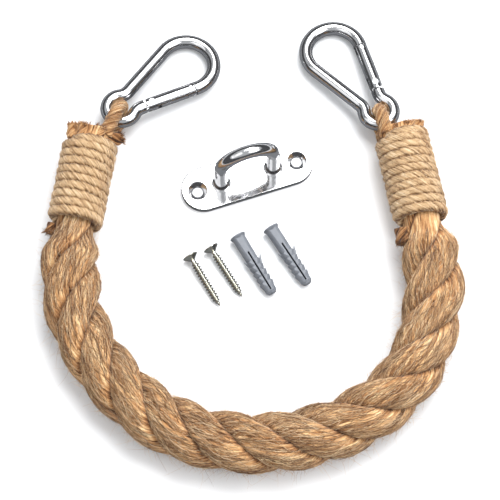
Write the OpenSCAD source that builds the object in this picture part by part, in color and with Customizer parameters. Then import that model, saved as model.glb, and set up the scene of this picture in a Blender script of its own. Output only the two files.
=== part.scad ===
// Jute rope hanger: a short three-strand rope with a cord loop and a spring snap hook
// at each end, and its wall fixing kit, an eye plate, two screws and two wall plugs.
// Everything lies on a flat surface at z = 0, with the rope bent round in an open ring.

/* [Rope] */
// Diameter over the three strands
rope_d = 25; // [24:0.5:26]
// Length along the rope in which a strand makes one turn
lay_length = 60; // [50:1:80]
// Diameter over the twine whipping
whip_d = 24; // [23.6:0.2:24.8]
// Diameter of the whipping twine
twine_d = 3.9; // [3.9:0.1:4.2]
// Turns of twine on the left end
turns_left = 10; // [8:1:10]
// Turns of twine on the right end
turns_right = 11; // [8:1:11]
// Diameter of the cord loop at each end
loop_d = 6; // [5.6:0.1:6]

/* [Snap hooks] */
// Diameter of the hook's wire and of its gate
wire_d = 6; // [5.8:0.1:6]
// Radius of the wide bow, to the middle of the wire
bow_r = 12.4; // [12:0.1:13]
// Radius of the small eye, to the middle of the wire
eye_r = 6.4; // [6.4:0.1:6.8]
// Distance between the centres of the bow and the small eye
hook_l = 36.4; // [35:0.1:37]
// Lean of each straight side from the hook's middle line
side_lean = 15; // [14.5:0.1:15.5]
// Diameter of the gate's hinge rivet
rivet_d = 2; // [1.8:0.1:2]
// Diameter of the pin that catches in the nose
latch_d = 1.8; // [1.6:0.1:1.8]

/* [Eye plate] */
// Length of the plate, over its round ends
plate_l = 60; // [58:1:64]
// Width of the plate
plate_w = 20; // [19:1:22]
// Thickness of the plate
plate_t = 2.5; // [2.5:0.1:3]
// Distance between the two screw holes
hole_gap = 46; // [44:1:48]
// Diameter of each screw hole
hole_d = 4.8; // [4.4:0.1:5]
// Diameter of the countersink at the plate's face
sink_d = 8.4; // [8:0.1:8.8]
// Diameter of the eye's rod
rod_d = 6; // [5:0.5:6]
// Width of the eye, over its legs
eye_w = 30; // [28:1:32]
// Height of the eye above the surface the plate lies on
eye_h = 34; // [28:1:36]

/* [Screws and plugs] */
// Length of a screw, over its head
screw_l = 26; // [22:1:27]
// Diameter over the screw's thread
screw_d = 3.5; // [3.3:0.1:3.6]
// Diameter of the screw's head
head_d = 7; // [6.6:0.1:7]
// Length of a wall plug
plug_l = 30; // [30:1:32]
// Diameter of a wall plug over its teeth
plug_d = 6.4; // [6.2:0.1:6.4]

/* [Hidden] */
fine = 48;
thin = 32;
eps = 0.01;

jute = [0.80, 0.63, 0.42];
twine_tan = [0.86, 0.74, 0.55];
steel = [0.80, 0.81, 0.82];
dark_steel = [0.45, 0.46, 0.47];
nickel = [0.62, 0.62, 0.55];
nylon_grey = [0.60, 0.61, 0.64];

// ---- The rope's route, from its right end round to its left end, seen from above ----
route = [
    [64.4, 48], [66.2, 39.5], [68.2, 30], [70.2, 20.5], [72.2, 11], [74.2, 1],
    [76.3, -9], [77.6, -20], [77.3, -32], [74.4, -46.5], [67.8, -61], [57.6, -73.5],
    [44.7, -83], [30, -89], [15, -92], [0, -93], [-15, -92], [-30, -87.5],
    [-43, -80], [-55, -70], [-65, -58], [-72.2, -45], [-76.5, -31], [-78, -17],
    [-77.6, -5], [-76.4, 7], [-74.8, 17], [-73.2, 27], [-71.6, 37], [-70.2, 46]];
route_steps = 6;
rope_r = rope_d / 2;
ring_step = 3.1;

// A smooth curve through the route's points
function bend(a, b, c, d, t) = 0.5 * (2 * b + (c - a) * t
    + (2 * a - 5 * b + 4 * c - d) * t * t + (3 * b - a - 3 * c + d) * t * t * t);
function at(i) = route[min(max(i, 0), len(route) - 1)];
curve = [for (i = [0:len(route) - 2], j = [0:route_steps - 1])
    bend(at(i - 1), at(i), at(i + 1), at(i + 2), j / route_steps), at(len(route))];
run = [for (i = 0, s = 0; i < len(curve);
    s = s + (i + 1 < len(curve) ? norm(curve[i + 1] - curve[i]) : 0), i = i + 1) s];
rope_l = run[len(run) - 1];
x_along = [for (i = [0:len(curve) - 1]) [run[i], curve[i][0]]];
y_along = [for (i = [0:len(curve) - 1]) [run[i], curve[i][1]]];
function middle(s) = [lookup(s, x_along), lookup(s, y_along), rope_r];
function heading(s) = let (d = middle(min(s + 1, rope_l)) - middle(max(s - 1, 0))) d / norm(d);

// ---- The whipped ends ----
twine_r = twine_d / 2;
whip_r = whip_d / 2 - twine_r;
grip_gap = 0.05;
grip_r = whip_r - twine_r - grip_gap;
pitch_left = 3.85;
pitch_right = 3.65;
tuft_left = 5.2;
tuft_right = 3.6;
whip_left_l = twine_d + (turns_left - 1) * pitch_left;
whip_right_l = twine_d + (turns_right - 1) * pitch_right;
release = 11;

// ---- A strand's section, a lobe between two flat flanks ----
strand_count = 3;
strand_phase = 40;
lobe_offset = 0.416 * rope_r;
lobe_r = rope_r - lobe_offset;
lobe_angles = [-58, -39, -20, 0, 20, 39, 58];
middle_r = 0.35;
function lobe(phi) = lobe_offset * cos(phi)
    + sqrt(lobe_r * lobe_r - pow(lobe_offset * sin(phi), 2));
function ease(t) = let (u = min(max(t, 0), 1)) u * u * (3 - 2 * u);
// How tightly the whipping holds the strands, 0 loose to 1 gripped, e in from the end
function hold(e, tuft, whip) = e < tuft + whip / 2
    ? ease((e + ring_step) / tuft)
    : 1 - ease((e - tuft - whip - ring_step) / release);
function grip(s) = max(hold(s, tuft_right, whip_right_l), hold(rope_l - s, tuft_left, whip_left_l));
function reach(phi, s) = let (g = grip(s)) (1 - g) * lobe(phi) + g * grip_r;

// Closed mesh over equal rings of points
function ring_faces(rings, sides) = concat(
    [[for (j = [sides - 1:-1:0]) j]],
    [for (i = [0:rings - 2], j = [0:sides - 1]) let (k = (j + 1) % sides)
        each [[i * sides + j, i * sides + k, (i + 1) * sides + k],
            [i * sides + j, (i + 1) * sides + k, (i + 1) * sides + j]]],
    [[for (j = [0:sides - 1]) (rings - 1) * sides + j]]);

ring_count = ceil(rope_l / ring_step) + 1;
module strand(number) {
    first = strand_phase + number * 360 / strand_count;
    sides = len(lobe_angles) + 1;
    points = [for (i = [0:ring_count - 1])
        let (s = i * rope_l / (ring_count - 1), c = middle(s), t = heading(s),
            across = [-t[1], t[0], 0], turn = first + 360 * s / lay_length)
        each concat(
            [for (phi = lobe_angles) c + reach(phi, s)
                * (cos(turn + phi) * across + sin(turn + phi) * [0, 0, 1])],
            [c + middle_r * (cos(turn) * across + sin(turn) * [0, 0, 1])])];
    color(jute) polyhedron(points, ring_faces(ring_count, sides), convexity = 8);
}

// Places children at distance s along the rope, with +X along it, towards its left end
module along_rope(s) {
    t = heading(s);
    translate(middle(s)) rotate([0, 0, atan2(t[1], t[0])]) children();
}

// Turns of twine side by side, drawn as rings, from x = 0
module whipping(turns, pitch) {
    color(twine_tan) rotate([0, 90, 0]) rotate_extrude($fn = fine)
        for (i = [0:turns - 1]) translate([whip_r, twine_r + i * pitch]) circle(twine_r, $fn = thin);
}

// ---- The cord loops. Each one is an upright U round the small eye of its hook ----
loop_r = loop_d / 2;
wire_r = wire_d / 2;
loop_gap = 0.3;
loop_bend = wire_r + loop_r + loop_gap;
loop_z = loop_bend + loop_r + 0.1;
left_pivot = [-60.4, 53, loop_z];
right_pivot = [57.4, 51.2, loop_z];
left_heading = 68;
right_heading = 102;
left_leg = 10.5;
right_leg = 7;

module loop(pivot, heading_angle, leg) {
    color(jute) translate(pivot) rotate([0, 0, heading_angle]) {
        rotate([90, 0, 0]) rotate([0, 0, -90])
            rotate_extrude(angle = 180, $fn = fine) translate([loop_bend, 0]) circle(loop_r, $fn = thin);
        for (side = [-1, 1]) translate([-leg, 0, side * loop_bend])
            rotate([0, 90, 0]) cylinder(r = loop_r, h = leg, $fn = fine);
    }
}

// The cut cord ends that poke out below the whippings
tail_r_left = 2;
tail_r_right = 3.4;
tail_out = 9.6;
tail_below_left = 3;
tail_below_right = 6;
module cord_tail(s, side, size) {
    color(twine_tan) along_rope(s) translate([0, side * tail_out, 0])
        rotate([0, 90, 0]) cylinder(r = size, h = size * 2, center = true, $fn = thin);
}

// ---- The snap hooks, drawn flat: +X from the small eye to the bow, the gate on the -Y side ----
neck_r = 6;
line_gap = bow_r - hook_l * sin(side_lean);
// Centre of the neck's bend, which touches both the small eye and the straight side
neck_line = (neck_r + line_gap) / cos(side_lean);
neck_slope = tan(side_lean);
neck_square = 1 + neck_slope * neck_slope;
neck_reach = eye_r + neck_r;
neck_x = (sqrt(neck_square * pow(neck_reach, 2) - pow(neck_line, 2)) - neck_line * neck_slope) / neck_square;
neck_y = neck_line + neck_slope * neck_x;
neck_angle = atan2(neck_y, neck_x);
side_start = [neck_x + neck_r * sin(side_lean), neck_y - neck_r * cos(side_lean)];
side_end = [hook_l - bow_r * sin(side_lean), bow_r * cos(side_lean)];
side_l = norm(side_end - side_start);

// Places along the gate's side, measured from the neck towards the bow
foot = 1.4;
rivet_at = 4.8;
gate_end = side_l - 1.4;
nose = side_l - 1;
claw_tip = nose - 4;
latch_at = nose - 2;
tongue_t = 2.2;
slot_t = 2.5;
tongue_h = 4.8;
tongue_end = 2.2;
cheek_r = 3;
hinge_slot = rivet_at + 3.5;
claw_slot = claw_tip - 0.4;
bore_end = claw_slot - 0.9;
head_gap = 0.1;
latch_slot = latch_d + 0.6;
latch_l = wire_d - 0.3;
embed = 0.5;
join_gap = 0.02;
dowel_skin = 0.06;
dowel_l = 0.8;
over = 1;
plunger_r = 1.5;
plunger_head = 2.2;
plunger_l = 5.7;
stem_r = 0.7;
run_gap = 0.05;
rivet_head = 0.35;
rivet_head_d = rivet_d + 0.8;
rivet_proud = 0.1;

// A stretch of bent wire about the origin, from one angle through another
module wire_bend(radius, from, sweep) {
    rotate([0, 0, from]) rotate_extrude(angle = sweep, $fn = fine)
        translate([radius, 0]) circle(wire_r, $fn = fine);
}
// Frame of the gate's side: +X towards the bow, +Y into the hook
module gate_side() {
    translate([side_start[0], -side_start[1], 0]) rotate([0, 0, -side_lean]) children();
}
module wire_rod(from, to) {
    translate([from, 0, 0]) rotate([0, 90, 0]) cylinder(r = wire_r, h = to - from, $fn = fine);
}
module flat_tongue(from, to) {
    translate([from, -tongue_h / 2, -tongue_t / 2]) cube([to - from, tongue_h, tongue_t]);
}

// The wire's bends and straights stop just short of each other, and a short dowel in the wire joins each pair
module dowel(at, heading) {
    translate([at[0], at[1], 0]) rotate([0, 0, heading]) rotate([0, 90, 0])
        cylinder(r = wire_r - dowel_skin, h = dowel_l, center = true, $fn = fine);
}
module hook_body() {
    turn_gap = 0.2;
    color(steel) {
        translate([hook_l, 0, 0]) wire_bend(bow_r, -90 - side_lean, 180 + 2 * side_lean);
        wire_bend(eye_r, neck_angle, 360 - 2 * neck_angle);
        for (side = [1, -1]) {
            translate([neck_x, side * neck_y, 0])
                wire_bend(neck_r, side > 0 ? 180 + neck_angle + turn_gap : 90 - side_lean + turn_gap,
                    90 + side_lean - neck_angle - 2 * turn_gap);
            dowel([eye_r * cos(neck_angle), side * eye_r * sin(neck_angle)], side * (neck_angle + 90));
            for (joint = [side_start, side_end]) dowel([joint[0], side * joint[1]], side * side_lean);
        }
        translate([side_start[0], side_start[1], 0]) rotate([0, 0, side_lean])
            wire_rod(join_gap, side_l - join_gap);
        gate_side() {
            wire_rod(join_gap, foot);
            wire_rod(nose, side_l - join_gap);
            difference() {
                flat_tongue(foot - embed, rivet_at + tongue_end);
                translate([rivet_at, 0, 0])
                    cylinder(d = rivet_d + 2 * run_gap, h = wire_d, center = true, $fn = fine);
            }
            difference() {
                flat_tongue(claw_tip, nose + embed);
                translate([latch_at, 0, 0]) {
                    cylinder(d = latch_slot, h = wire_d, center = true, $fn = fine);
                    translate([-latch_slot / 2, 0, -wire_r]) cube([latch_slot, wire_d, wire_d]);
                }
            }
        }
    }
}

module gate() {
    color(steel) gate_side() difference() {
        union() {
            wire_rod(rivet_at, gate_end);
            intersection() {
                wire_rod(rivet_at - wire_d, rivet_at + over);
                translate([rivet_at, 0, 0])
                    cylinder(r = cheek_r, h = wire_d + over, center = true, $fn = fine);
            }
        }
        translate([0, -wire_d, -slot_t / 2]) cube([hinge_slot, 2 * wire_d, slot_t]);
        translate([claw_slot, -wire_d, -slot_t / 2]) cube([wire_d, 2 * wire_d, slot_t]);
        translate([rivet_at + tongue_end - embed, 0, 0]) rotate([0, 90, 0])
            cylinder(r = plunger_r + run_gap, h = bore_end - rivet_at - tongue_end + embed, $fn = fine);
        translate([rivet_at, 0, 0]) {
            cylinder(d = rivet_d, h = 2 * wire_d, center = true, $fn = fine);
            for (side = [0, 180]) rotate([side, 0, 0]) translate([0, 0, wire_r + rivet_proud - rivet_head])
                cylinder(d = rivet_head_d, h = wire_d, $fn = fine);
        }
        translate([latch_at, 0, 0]) cylinder(d = latch_d, h = 2 * wire_d, center = true, $fn = fine);
    }
}

module hinge_rivet() {
    color(dark_steel) gate_side() translate([rivet_at, 0, 0]) {
        cylinder(d = rivet_d, h = wire_d, center = true, $fn = fine);
        for (side = [0, 180]) rotate([side, 0, 0]) translate([0, 0, wire_r + rivet_proud - rivet_head])
            cylinder(d = rivet_head_d, h = rivet_head, $fn = fine);
    }
}

module latch_pin() {
    color(dark_steel) gate_side() translate([latch_at, 0, 0])
        cylinder(d = latch_d, h = latch_l, center = true, $fn = fine);
}

module spring_plunger() {
    color(dark_steel) gate_side() translate([rivet_at + tongue_end + head_gap, 0, 0]) rotate([0, 90, 0]) {
        cylinder(r = plunger_r, h = plunger_head, $fn = fine);
        cylinder(r = stem_r, h = plunger_l, $fn = fine);
    }
}

// The coil in the gate's bore
coil_r = 1.12;
coil_wire_r = 0.22;
coil_turns = 8;
coil_sides = 6;
coil_steps = 12;
coil_travel = 1.6;
coil_from = rivet_at + tongue_end + head_gap + plunger_head + coil_travel;
coil_end_gap = 0.1;
module gate_spring() {
    length = bore_end - coil_from - 2 * coil_wire_r - coil_end_gap;
    count = coil_turns * coil_steps + 1;
    points = [for (i = [0:count - 1]) let (turn = 360 * i / coil_steps, out = [0, cos(turn), sin(turn)])
        for (j = [0:coil_sides - 1]) let (a = -360 * j / coil_sides)
            [coil_from + coil_wire_r + length * i / (count - 1), 0, 0]
                + (coil_r + coil_wire_r * cos(a)) * out + [coil_wire_r * sin(a), 0, 0]];
    color(dark_steel) gate_side() polyhedron(points, ring_faces(count, coil_sides), convexity = 8);
}

// A hook turned on its loop, tipped so that its bow rests on the surface
left_turn = -29.5;
right_turn = 20.5;
function tip(turn) = asin((loop_z - wire_r) / (eye_r + hook_l * cos(turn) + bow_r));
module on_loop(pivot, heading_angle, turn) {
    translate(pivot) rotate([0, 0, heading_angle]) rotate([0, tip(turn), 0])
        translate([eye_r, 0, 0]) rotate([0, 0, turn]) children();
}
module left_hook() { on_loop(left_pivot, left_heading, left_turn) children(); }
module right_hook() { on_loop(right_pivot, right_heading, right_turn) children(); }

// ---- The eye plate ----
plate_at = [-2.2, 29.4, 0];
plate_turn = 18;
rod_r = rod_d / 2;
leg_x = eye_w / 2 - rod_r;
leg_top = eye_h - eye_w / 2;
sink_depth = (sink_d - hole_d) / 2;
bead = 1.3;
bead_waist = 0.4;
module on_plate() { translate(plate_at) rotate([0, 0, plate_turn]) children(); }

module eye_plate() {
    color(steel) on_plate() difference() {
        linear_extrude(plate_t) {
            square([plate_l - plate_w, plate_w], center = true);
            for (side = [-1, 1]) translate([side * (plate_l - plate_w) / 2, 0]) circle(d = plate_w, $fn = 96);
        }
        for (side = [-1, 1]) translate([side * hole_gap / 2, 0, 0]) {
            translate([0, 0, -over]) cylinder(d = hole_d, h = plate_t + 2 * over, $fn = fine);
            translate([0, 0, plate_t - sink_depth])
                cylinder(d1 = hole_d, d2 = sink_d + 2 * eps, h = sink_depth + eps, $fn = fine);
        }
    }
}

module eye_ring() {
    color(steel) on_plate() {
        for (side = [-1, 1]) translate([side * leg_x, 0, plate_t])
            cylinder(r = rod_r, h = leg_top - plate_t, $fn = fine);
        translate([0, 0, leg_top]) rotate([90, 0, 0])
            rotate_extrude(angle = 180, $fn = 96) translate([leg_x, 0]) circle(rod_r, $fn = fine);
    }
}

module ring_welds() {
    color(dark_steel) on_plate() for (side = [-1, 1]) translate([side * leg_x, 0, plate_t])
        rotate_extrude($fn = fine)
            polygon([[rod_r, 0], [rod_r + bead, 0], [rod_r + bead_waist, bead_waist], [rod_r, bead]]);
}

// ---- Screws, drawn along +X from the middle of the head's face ----
root_r = 1.25;
thread_pitch = 1.4;
crest_t = 0.2;
thread_from = 4;
point_l = 4;
rim_t = 0.35;
head_h = 2.4;
recess_depth = 1.7;
recess_w = 3.8;
recess_t = 0.9;
module screw() {
    thread_r = screw_d / 2;
    turns = floor((screw_l - point_l - thread_from) / thread_pitch);
    profile = concat([[0, 0], [head_d / 2, 0], [head_d / 2, rim_t], [root_r, head_h],
        [root_r, thread_from]],
        [for (i = [0:turns - 1]) each [
            [thread_r, thread_from + (i + 0.5) * thread_pitch - crest_t / 2],
            [thread_r, thread_from + (i + 0.5) * thread_pitch + crest_t / 2],
            [root_r, thread_from + (i + 1) * thread_pitch]]],
        [[0, screw_l]]);
    color(nickel) rotate([0, 90, 0]) difference() {
        rotate_extrude($fn = fine) polygon(profile);
        for (a = [0, 90]) rotate([0, 0, a])
            translate([-recess_w / 2, -recess_t / 2, -over]) cube([recess_w, recess_t, recess_depth + over]);
    }
}
screw_places = [[-27.2, -8.2, -59], [-18.2, -4.4, -57.5]];
module place_screw(i) {
    rest_l = screw_l - point_l - rim_t;
    translate([screw_places[i][0], screw_places[i][1], head_d / 2])
        rotate([0, 0, screw_places[i][2]]) rotate([0, asin((head_d - screw_d) / 2 / rest_l), 0]) screw();
}

// ---- Wall plugs, drawn along +X from the mouth, with the slot upright ----
rim_r = 3.6;
rim_l = 0.9;
rim_slope = 0.6;
flat_z = 2.6;
body_r = 2.75;
taper = 0.2;
end_slope = [1.2, 1];
plug_bore_r = 1.5;
plug_bore_l = 25;
plug_slot = [9, 28.4];
slot_w = 0.7;
tooth_from = 13;
tooth_pitch = 2.8;
teeth = 5;
tooth_rise = 0.3;
tooth_crest = 0.4;
wing_from = 12;
wing_to = 17.2;
wing_outs = [4.5, 3.6];
wing_t = 1.1;
wing_tip = [0.6, 0.8];
wing_root = 1.6;
module plug() {
    profile = concat([[0, 0], [rim_r, 0], [rim_r, rim_l / 2], [body_r + taper, rim_l + rim_slope],
            [body_r, tooth_from]],
        [for (i = [0:teeth - 1]) each [
            [plug_d / 2, tooth_from + i * tooth_pitch + tooth_rise],
            [plug_d / 2, tooth_from + i * tooth_pitch + tooth_rise + tooth_crest],
            [body_r - taper, tooth_from + (i + 1) * tooth_pitch]]],
        [[body_r - taper, plug_l - end_slope[0]], [body_r - end_slope[1], plug_l], [0, plug_l]]);
    color(nylon_grey) difference() {
        union() {
            intersection() {
                rotate([0, 90, 0]) rotate_extrude($fn = fine) polygon(profile);
                translate([rim_l, -rim_r - over, -flat_z]) cube([plug_l, 2 * (rim_r + over), 2 * flat_z]);
            }
            rotate([0, 90, 0]) rotate_extrude($fn = fine)
                polygon([[0, 0], [rim_r, 0], [rim_r, rim_l / 2],
                    [body_r, rim_l + embed], [0, rim_l + embed]]);
            for (side = [1, -1]) translate([0, 0, -wing_t / 2]) linear_extrude(wing_t)
                let (out = wing_outs[side > 0 ? 0 : 1])
                    polygon([[wing_from, side * out], [wing_from + wing_tip[0], side * (out - wing_tip[1])],
                        [wing_to - wing_root, side * (body_r - embed)], [wing_to, side * (body_r - embed)],
                        [wing_to, side * body_r]]);
        }
        translate([-over, 0, 0]) rotate([0, 90, 0])
            cylinder(r = plug_bore_r, h = plug_bore_l + over, $fn = fine);
        translate([plug_slot[0], -slot_w / 2, -rim_r]) cube([plug_slot[1] - plug_slot[0], slot_w, 2 * rim_r]);
    }
}
plug_places = [[-6.5, 0.8, -59.3], [8, 4.6, -57.5]];
module place_plug(i) {
    translate([plug_places[i][0], plug_places[i][1], rim_r])
        rotate([0, 0, plug_places[i][2]]) rotate([0, asin((rim_r - flat_z) / plug_l), 0]) plug();
}

strand(0);  // strand_1
strand(1);  // strand_2
strand(2);  // strand_3
along_rope(rope_l - tuft_left) mirror([1, 0, 0]) whipping(turns_left, pitch_left);  // whipping_left
along_rope(tuft_right) whipping(turns_right, pitch_right);  // whipping_right
loop(left_pivot, left_heading, left_leg);  // loop_left
loop(right_pivot, right_heading, right_leg);  // loop_right
cord_tail(rope_l - tuft_left - whip_left_l - tail_below_left, 1, tail_r_left);  // cord_tail_left
cord_tail(tuft_right + whip_right_l + tail_below_right, -1, tail_r_right);  // cord_tail_right
left_hook() hook_body();  // hook_body_left
left_hook() gate();  // gate_left
left_hook() hinge_rivet();  // hinge_rivet_left
left_hook() latch_pin();  // latch_pin_left
left_hook() gate_spring();  // gate_spring_left
left_hook() spring_plunger();  // spring_plunger_left
right_hook() hook_body();  // hook_body_right
right_hook() gate();  // gate_right
right_hook() hinge_rivet();  // hinge_rivet_right
right_hook() latch_pin();  // latch_pin_right
right_hook() gate_spring();  // gate_spring_right
right_hook() spring_plunger();  // spring_plunger_right
eye_plate();
eye_ring();
ring_welds();
place_screw(0);  // screw_1
place_screw(1);  // screw_2
place_plug(0);  // plug_1
place_plug(1);  // plug_2
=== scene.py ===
"""Jute rope hanger with snap hooks, its eye plate, screws and wall plugs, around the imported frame."""

import math

import bpy
import numpy as np
from mathutils import Matrix, Vector


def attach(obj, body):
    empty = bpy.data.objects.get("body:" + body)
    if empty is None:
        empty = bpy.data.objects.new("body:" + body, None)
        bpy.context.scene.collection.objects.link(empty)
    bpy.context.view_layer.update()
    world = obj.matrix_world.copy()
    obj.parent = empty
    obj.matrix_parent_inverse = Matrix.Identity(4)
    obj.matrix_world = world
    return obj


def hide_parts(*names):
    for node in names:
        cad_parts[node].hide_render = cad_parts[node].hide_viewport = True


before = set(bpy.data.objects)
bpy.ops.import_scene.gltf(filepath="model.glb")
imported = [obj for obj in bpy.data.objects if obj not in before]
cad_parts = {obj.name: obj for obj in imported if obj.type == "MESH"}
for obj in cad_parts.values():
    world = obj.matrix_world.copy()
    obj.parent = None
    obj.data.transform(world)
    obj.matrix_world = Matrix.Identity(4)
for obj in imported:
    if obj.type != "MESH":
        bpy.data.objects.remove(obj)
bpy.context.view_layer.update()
rng = np.random.default_rng(11)
MM = 0.001
TAU = 2 * math.pi
UP = np.array([0.0, 0.0, 1.0])

# ---- The rope's route, as in part.scad: from its right end round to its left end, in metres ----
ROUTE = [
    (0.0644, 0.048), (0.0662, 0.0395), (0.0682, 0.030), (0.0702, 0.0205), (0.0722, 0.011),
    (0.0742, 0.001), (0.0763, -0.009), (0.0776, -0.020), (0.0773, -0.032), (0.0744, -0.0465),
    (0.0678, -0.061), (0.0576, -0.0735), (0.0447, -0.083), (0.030, -0.089), (0.015, -0.092),
    (0.0, -0.093), (-0.015, -0.092), (-0.030, -0.0875), (-0.043, -0.080), (-0.055, -0.070),
    (-0.065, -0.058), (-0.0722, -0.045), (-0.0765, -0.031), (-0.078, -0.017), (-0.0776, -0.005),
    (-0.0764, 0.007), (-0.0748, 0.017), (-0.0732, 0.027), (-0.0716, 0.037), (-0.0702, 0.046),
]
ROPE_D = 25 * MM
ROPE_R = ROPE_D / 2
LAY = 60 * MM
STRAND_PHASE = math.radians(40)
GRIP_R = 8.05 * MM
RELEASE = 11 * MM
TWINE_R = 1.95 * MM
WHIP_R = 10.05 * MM
TUFT = {"left": 5.2 * MM, "right": 3.6 * MM}
TURNS = {"left": 10, "right": 11}
PITCH = {"left": 3.85 * MM, "right": 3.65 * MM}
WHIP_L = {side: 2 * TWINE_R + (TURNS[side] - 1) * PITCH[side] for side in TURNS}


def smooth_route(points, per_span=24):
    """Catmull-Rom curve through the route's points, as part.scad draws it."""
    p = np.array([points[0], *points, points[-1]], dtype=float)
    t = np.arange(per_span)[:, None] / per_span
    spans = []
    for a, b, c, d in zip(p[:-3], p[1:-2], p[2:-1], p[3:]):
        spans.append(0.5 * (2 * b + (c - a) * t + (2 * a - 5 * b + 4 * c - d) * t**2
                            + (3 * b - a - 3 * c + d) * t**3))
    return np.concatenate([*spans, p[-1:]])


flat_line = smooth_route(ROUTE)
rope_line = np.column_stack([flat_line, np.full(len(flat_line), ROPE_R)])
line_run = np.concatenate([[0], np.cumsum(np.linalg.norm(np.diff(rope_line, axis=0), axis=1))])
ROPE_L = float(line_run[-1])


def along(s):
    """Middle of the rope, its heading and its sideways direction at distances s."""
    s = np.clip(np.asarray(s, dtype=float), 0, ROPE_L)
    middle = np.stack([np.interp(s, line_run, rope_line[:, i]) for i in range(3)], axis=-1)
    step = 1 * MM
    ahead = np.stack([np.interp(s + step, line_run, rope_line[:, i]) for i in range(3)], axis=-1)
    behind = np.stack([np.interp(s - step, line_run, rope_line[:, i]) for i in range(3)], axis=-1)
    heading = ahead - behind
    heading /= np.linalg.norm(heading, axis=-1, keepdims=True)
    across = np.stack([-heading[..., 1], heading[..., 0], 0 * heading[..., 0]], axis=-1)
    return middle, heading, across


# ---- Camera ----
look_at = Vector((-0.0010, -0.0062, 0.0056))
elevation = math.radians(72)
distance = 0.815
toward_camera = Vector((0, -math.cos(elevation), math.sin(elevation)))
camera_data = bpy.data.cameras.new("camera")
camera_data.lens = 135
camera_data.sensor_width = 36
camera = bpy.data.objects.new("camera", camera_data)
camera.location = look_at + toward_camera * distance
camera.rotation_euler = toward_camera.to_track_quat("Z", "Y").to_euler()
bpy.context.collection.objects.link(camera)
bpy.context.scene.camera = camera


# ---- Mesh helpers ----
def ease(t):
    t = np.clip(t, 0, 1)
    return t * t * (3 - 2 * t)


def wave(count, period, size=1.0):
    """A smooth random curve of count values, one bend about every period values."""
    knots = max(4, int(count / period) + 2)
    values = rng.normal(0, size, knots)
    x = np.linspace(0, knots - 1, count)
    i = np.minimum(x.astype(int), knots - 2)
    f = ease(x - i)
    return values[i] * (1 - f) + values[i + 1] * f


def wave_field(rows, columns, period, size=1.0):
    """One smooth random curve per column, down the rows."""
    knots = max(4, int(rows / period) + 2)
    values = rng.normal(0, size, (knots, columns))
    x = np.linspace(0, knots - 1, rows)
    i = np.minimum(x.astype(int), knots - 2)
    f = ease(x - i)[:, None]
    return values[i] * (1 - f) + values[i + 1] * f


def add_piece(name, verts, faces, material, smooth=True, values=None):
    """A mesh object; values is a dict of per-point numbers, kept as attributes."""
    mesh = bpy.data.meshes.new(name)
    mesh.from_pydata(np.asarray(verts).tolist(), [], faces)
    mesh.polygons.foreach_set("use_smooth", [smooth] * len(mesh.polygons))
    for key, numbers in (values or {}).items():
        numbers = np.asarray(numbers, dtype=np.float32)
        kind = "FLOAT_VECTOR" if numbers.ndim == 2 else "FLOAT"
        attribute = mesh.attributes.new(key, kind, "POINT")
        attribute.data.foreach_set("vector" if numbers.ndim == 2 else "value", numbers.ravel())
    mesh.materials.append(material)
    mesh.update()
    obj = bpy.data.objects.new(name, mesh)
    bpy.context.collection.objects.link(obj)
    return obj


def tube_faces(rows, columns, first=0):
    """Quads of a capped tube, and a fan of triangles to a middle point at each end."""
    i = np.arange(rows - 1)[:, None] * columns
    j = np.arange(columns)[None, :]
    k = (j + 1) % columns
    quads = np.stack([i + j, i + k, i + columns + k, i + columns + j], axis=-1).reshape(-1, 4) + first
    start = first + rows * columns
    last = (rows - 1) * columns + first
    ring = np.arange(columns)
    after = (ring + 1) % columns
    near_cap = np.stack([np.full(columns, start), ring * 0 + after + first, ring + first], axis=-1)
    far_cap = np.stack([np.full(columns, start + 1), ring + last, after + last], axis=-1)
    return quads.tolist() + near_cap.tolist() + far_cap.tolist()


def tube_points(rings):
    """Ring points in order, and then the middle point of each end."""
    return np.concatenate([rings.reshape(-1, 3), [rings[0].mean(axis=0)], [rings[-1].mean(axis=0)]])


def frames_on(path):
    """Heading and two side directions along a path, carried along it without twist."""
    heading = np.gradient(path, axis=0)
    heading /= np.linalg.norm(heading, axis=1, keepdims=True)
    side = np.cross(heading[0], UP)
    if np.linalg.norm(side) < 0.2:
        side = np.cross(heading[0], [1.0, 0.0, 0.0])
    sides = []
    for h in heading:
        side = side - h * np.dot(side, h)
        side = side / np.linalg.norm(side)
        sides.append(side)
    sides = np.array(sides)
    return heading, sides, np.cross(heading, sides)


def lobed(angle, radius, plies, bulge=0.416):
    """Outline of plies round strands that touch, at an angle from the middle of one of them."""
    sector = TAU / plies
    a = (np.asarray(angle) + sector / 2) % sector - sector / 2
    offset = bulge * radius
    lobe = radius - offset
    return offset * np.cos(a) + np.sqrt(lobe**2 - (offset * np.sin(a)) ** 2)


cord_grids = {}


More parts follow.
